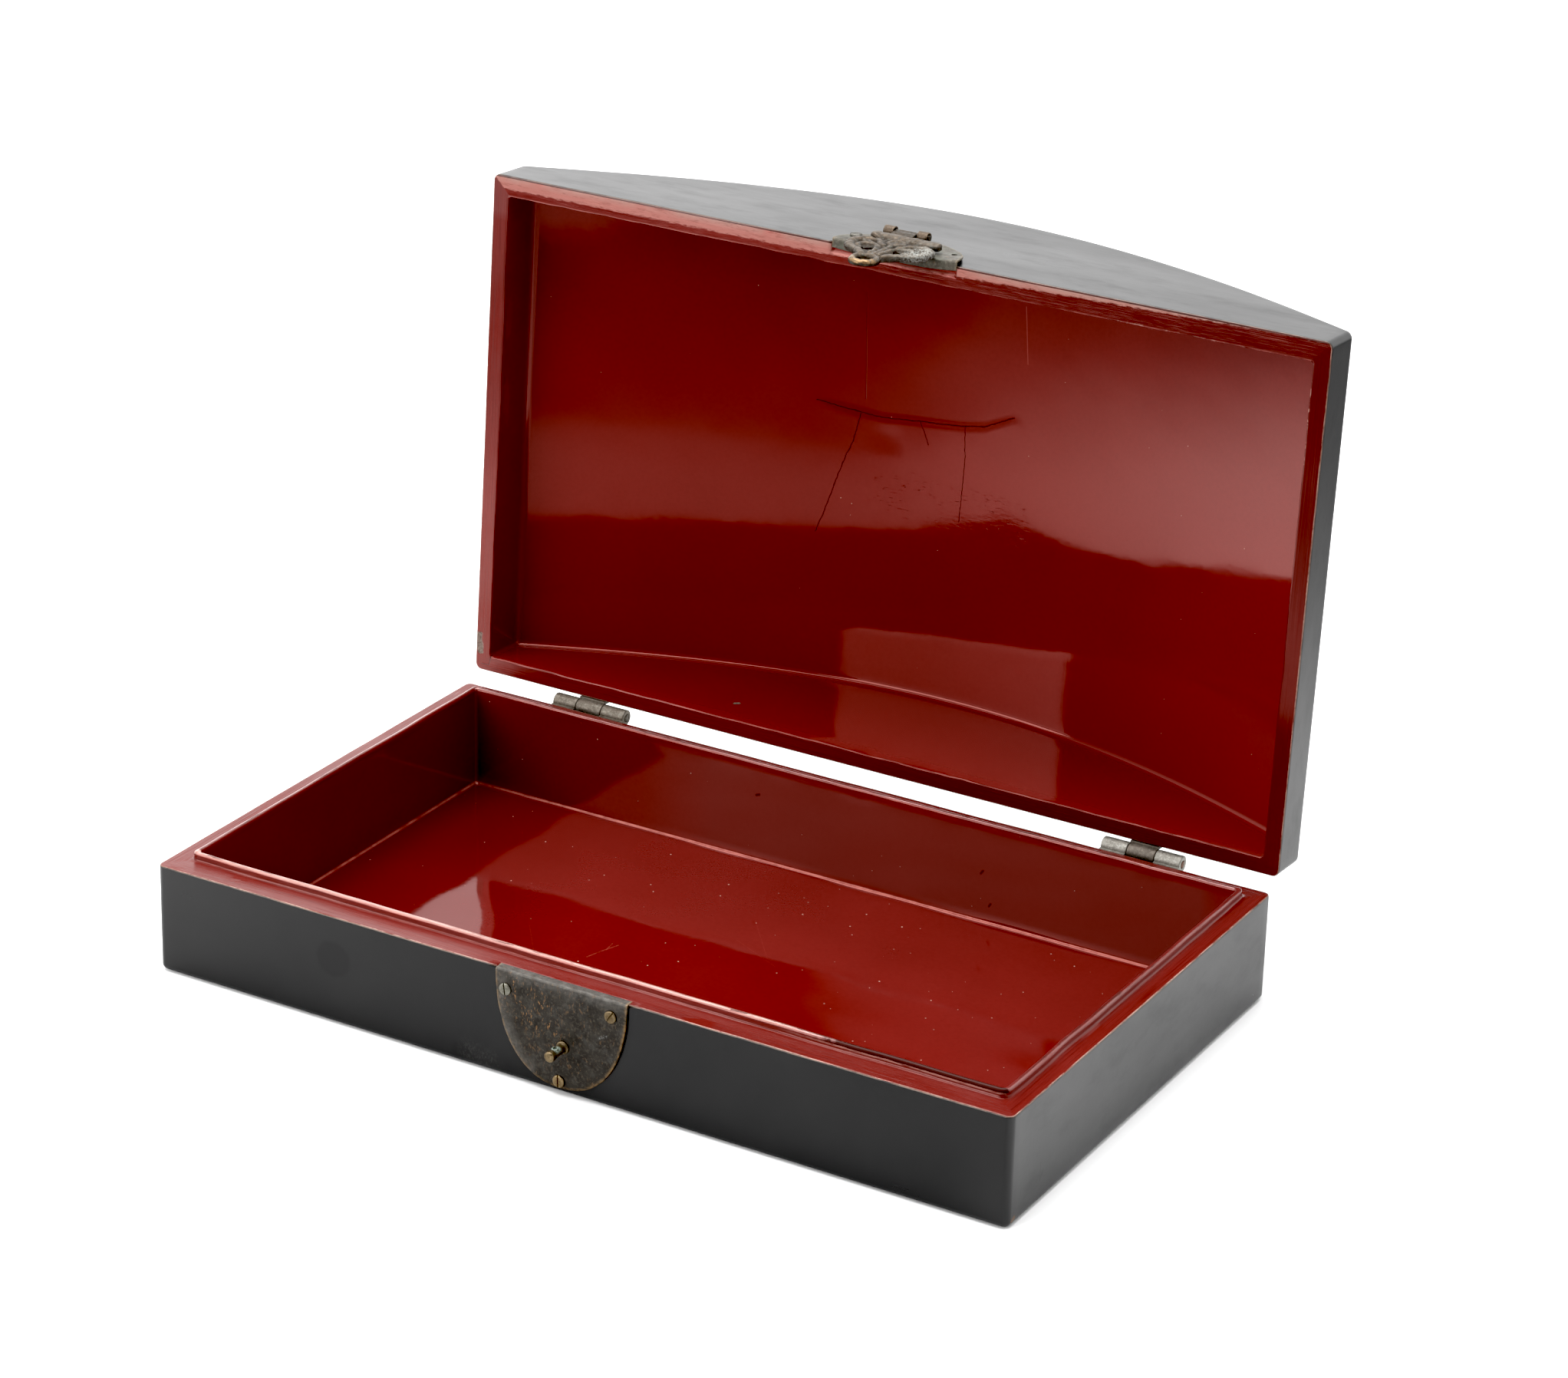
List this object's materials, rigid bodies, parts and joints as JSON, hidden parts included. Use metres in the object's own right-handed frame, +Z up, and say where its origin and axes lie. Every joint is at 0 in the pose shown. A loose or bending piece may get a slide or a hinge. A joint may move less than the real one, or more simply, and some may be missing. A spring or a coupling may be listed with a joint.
{
  "type": "lacquer box",
  "caption": "Low rectangular lacquered wooden box with a domed lid on butt hinges, a half-moon lock plate with a stud, and a pierced hasp that swings on the lid.",
  "frame": {"origin": "middle of the underside of the base, where the box stands on a table", "axes": "+Z up, +X along the length to the right seen from the front, front with the lock plate towards -Y, lid standing open"},
  "size_m": [0.38, 0.3292, 0.2749],
  "materials": {
    "black_lacquer": "worn satin black lacquer outside over wood, deep red lacquer on inner faces and rims",
    "red_lacquer": "glossy deep red lacquer over wood",
    "dark_bronze": "dark brown patina on brass, rubbed to bare metal in flecks",
    "brass": "dull toned brass"
  },
  "bodies": {
    "base": {"base_front_board": "black_lacquer", "base_back_board": "black_lacquer", "base_left_end_board": "black_lacquer", "base_right_end_board": "black_lacquer", "base_bottom_board": "red_lacquer", "lip_strip_front": "red_lacquer", "lip_strip_back": "red_lacquer", "lip_strip_left": "red_lacquer", "lip_strip_right": "red_lacquer", "lock_plate": "dark_bronze", "lock_plate_screw_left": "brass", "lock_plate_screw_right": "brass", "lock_plate_screw_bottom": "brass", "lock_stud": "brass", "hinge_left_base_leaf": "dark_bronze", "hinge_left_pin": "brass", "hinge_left_base_screw_1": "brass", "hinge_left_base_screw_2": "brass", "hinge_right_base_leaf": "dark_bronze", "hinge_right_pin": "brass", "hinge_right_base_screw_1": "brass", "hinge_right_base_screw_2": "brass"},
    "lid": {"lid_front_board": "black_lacquer", "lid_back_board": "black_lacquer", "lid_left_end_board": "black_lacquer", "lid_right_end_board": "black_lacquer", "lid_crown_panel": "black_lacquer", "hinge_left_lid_leaf": "dark_bronze", "hinge_left_lid_screw_1": "brass", "hinge_left_lid_screw_2": "brass", "hinge_right_lid_leaf": "dark_bronze", "hinge_right_lid_screw_1": "brass", "hinge_right_lid_screw_2": "brass", "hasp_plate": "dark_bronze", "hasp_plate_screw": "brass", "hasp_loop_left": "brass", "hasp_loop_right": "brass"},
    "hasp": {"hasp": "dark_bronze"}
  },
  "joints": [
    {"name": "lid_hinge", "type": "hinge", "parent": "base", "child": "lid", "pos_m": [0, 0.114, 0.04565], "axis": [-1, 0, 0], "range_deg": [-93.8, 35]},
    {"name": "hasp_hinge", "type": "hinge", "parent": "lid", "child": "hasp", "pos_m": [-0.0042, 0.14775, 0.27091], "axis": [-1, 0, 0], "range_deg": [0, 175]}
  ]
}
